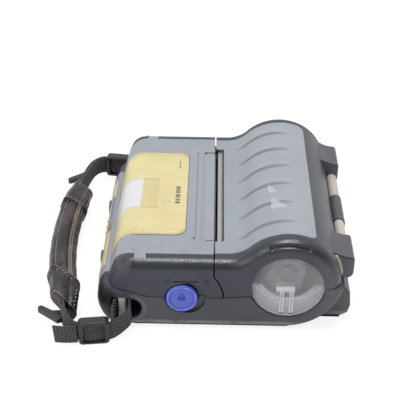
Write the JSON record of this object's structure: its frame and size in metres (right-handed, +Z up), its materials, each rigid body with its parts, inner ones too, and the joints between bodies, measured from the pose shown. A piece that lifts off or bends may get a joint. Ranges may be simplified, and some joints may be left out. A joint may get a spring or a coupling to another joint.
{
  "type": "label maker",
  "caption": "Portable label maker: dark ribbed casing, hinged rear media bay with clear windows, blue release button, paper slot, and a padded leather carrying grip on webbing.",
  "frame": {"origin": "centre of the footprint on the surface it stands on", "axes": "+X from the carrying grip towards the rear hinge, +Y along the width away from the release button, +Z up"},
  "size_m": [0.197, 0.1976, 0.0668],
  "materials": {
    "charcoal_casing": "fine satin grain",
    "deck_grey": "smooth satin",
    "bezel_grey": "satin",
    "overlay_yellow": "satin film",
    "key_rubber": "matte",
    "lens_clear": "gloss",
    "window_clear": "clear gloss",
    "button_blue": "semi-gloss",
    "cream_plastic": "matte",
    "bright_steel": "brushed",
    "plate_steel": "pressed sheet",
    "black_screws": "black zinc",
    "motor_can": "satin",
    "platen_rubber": "matte",
    "gear_plastic": "satin",
    "bearing_black": "satin",
    "heat_sink_aluminium": "satin",
    "head_ceramic": "glazed",
    "bay_grey": "matte",
    "guide_grey": "satin",
    "board_green": "lacquered",
    "socket_black": "satin",
    "flap_rubber": "matte",
    "foot_rubber": "matte",
    "battery_shell": "fine grain",
    "strap_webbing": "woven",
    "buckle_black": "semi-gloss",
    "grip_leather": "grained"
  },
  "bodies": {
    "base": {"lower_chassis": "charcoal_casing", "front_casing": "charcoal_casing", "deck_panel": "deck_grey", "keypad_bezel": "bezel_grey", "keypad_overlay": "overlay_yellow", "status_lenses": "lens_clear", "hinge_rod": "bright_steel", "gear_plate": "plate_steel", "motor": "motor_can", "print_head": "head_ceramic", "heat_sink": "heat_sink_aluminium", "head_bracket": "plate_steel", "head_springs": "bright_steel", "button_guide": "bearing_black", "button_spring": "bright_steel", "bay_liner": "bay_grey", "guide_block": "bay_grey", "pinion_post": "bright_steel", "main_board": "board_green", "power_jack": "socket_black", "data_port": "socket_black", "rubber_feet": "foot_rubber", "case_screws": "black_screws", "lug_bars": "bright_steel", "strap_loops": "strap_webbing"},
    "cover": {"cover_shell": "charcoal_casing", "cover_panel": "deck_grey", "window_near": "window_clear", "window_far": "window_clear", "hinge_sleeves": "cream_plastic", "tear_bar": "bright_steel", "platen_bearings": "bearing_black"},
    "platen": {"platen_shaft": "bright_steel", "platen_rubber": "platen_rubber", "platen_gear": "gear_plastic"},
    "idler": {"idler_gear": "gear_plastic"},
    "drive": {"motor_pinion": "gear_plastic", "motor_shaft": "bright_steel"},
    "latch": {"latch_bar": "plate_steel"},
    "release": {"eject_button": "button_blue"},
    "power_button": {"power_key": "key_rubber"},
    "feed_button": {"feed_key": "key_rubber"},
    "near_guide": {"guide_arm_near": "guide_grey"},
    "far_guide": {"guide_arm_far": "guide_grey"},
    "guide_gear": {"guide_pinion": "gear_plastic"},
    "near_hub": {"hub_near": "guide_grey"},
    "far_hub": {"hub_far": "guide_grey"},
    "battery": {"battery_pack": "battery_shell"},
    "battery_catch": {"battery_latch": "battery_shell"},
    "strap": {"webbing_near": "strap_webbing", "webbing_far": "strap_webbing", "webbing_tail": "strap_webbing", "buckle_near": "buckle_black", "buckle_far": "buckle_black", "hook_near": "buckle_black", "hook_far": "buckle_black", "grip_pad": "grip_leather", "grip_tabs": "grip_leather"},
    "port_flap": {"port_cover": "flap_rubber"}
  },
  "joints": [
    {"name": "cover_hinge", "type": "hinge", "parent": "base", "child": "cover", "pos_m": [0.094, 0, 0.037], "axis": [0, 1, 0], "range_deg": [0, 95]},
    {"name": "platen_spin", "type": "hinge", "parent": "cover", "child": "platen", "pos_m": [0.0195, 0, 0.0383], "axis": [0, 1, 0], "continuous": true},
    {"name": "idler_spin", "type": "hinge", "parent": "base", "child": "idler", "pos_m": [0.0195, 0, 0.02198], "axis": [0, 1, 0], "continuous": true},
    {"name": "pinion_spin", "type": "hinge", "parent": "base", "child": "drive", "pos_m": [0.00586, 0, 0.01701], "axis": [0, 1, 0], "continuous": true},
    {"name": "latch_turn", "type": "hinge", "parent": "base", "child": "latch", "pos_m": [-0.001, 0, 0.031], "axis": [0, 1, 0], "range_deg": [-8.02, 0], "stiffness_Nm_per_rad": 0.6, "springref_deg": 6.88},
    {"name": "eject_slide", "type": "slide", "parent": "base", "child": "release", "axis": [0, 1, 0], "range_m": [0, 0.003], "deforming": ["button_spring"]},
    {"name": "power_press", "type": "slide", "parent": "base", "child": "power_button", "axis": [1, 0, 0], "range_m": [0, 0.0008], "stiffness_N_per_m": 800, "springref_m": -0.0006},
    {"name": "feed_press", "type": "slide", "parent": "base", "child": "feed_button", "axis": [1, 0, 0], "range_m": [0, 0.0008], "stiffness_N_per_m": 800, "springref_m": -0.0006},
    {"name": "guide_far_slide", "type": "slide", "parent": "base", "child": "far_guide", "axis": [0, -1, 0], "range_m": [0, 0.03]},
    {"name": "guide_near_slide", "type": "slide", "parent": "base", "child": "near_guide", "axis": [0, 1, 0], "range_m": [0, 0.03]},
    {"name": "guide_pinion_turn", "type": "hinge", "parent": "base", "child": "guide_gear", "pos_m": [0.034, 0, 0.006], "axis": [0, 0, 1], "range_deg": [-319, 0]},
    {"name": "near_hub_spin", "type": "hinge", "parent": "near_guide", "child": "near_hub", "pos_m": [0.0584, -0.058, 0.0335], "axis": [0, 1, 0], "continuous": true},
    {"name": "far_hub_spin", "type": "hinge", "parent": "far_guide", "child": "far_hub", "pos_m": [0.0584, 0.058, 0.0335], "axis": [0, 1, 0], "continuous": true},
    {"name": "battery_slide", "type": "slide", "parent": "base", "child": "battery", "axis": [0, 0, -1], "range_m": [0, 0.024]},
    {"name": "battery_latch_slide", "type": "slide", "parent": "base", "child": "battery_catch", "axis": [1, 0, 0], "range_m": [0, 0.003], "stiffness_N_per_m": 300, "springref_m": -0.0015},
    {"name": "strap_swing", "type": "hinge", "parent": "base", "child": "strap", "pos_m": [-0.0439, 0, 0.0151], "axis": [0, 1, 0], "range_deg": [-30, 45]},
    {"name": "port_cover_swing", "type": "hinge", "parent": "base", "child": "port_flap", "pos_m": [-0.005, 0.0792, 0.0099], "axis": [-1, 0, 0], "range_deg": [0, 95]}
  ],
  "couplings": [
    {"joint": "idler_spin", "follows": "platen_spin", "ratio": -0.8},
    {"joint": "pinion_spin", "follows": "platen_spin", "ratio": 1.3333},
    {"joint": "eject_slide", "follows": "latch_turn", "m_per_rad": -0.0214},
    {"joint": "guide_near_slide", "follows": "guide_far_slide", "ratio": 1},
    {"joint": "guide_pinion_turn", "follows": "guide_far_slide", "rad_per_m": -185.19}
  ]
}
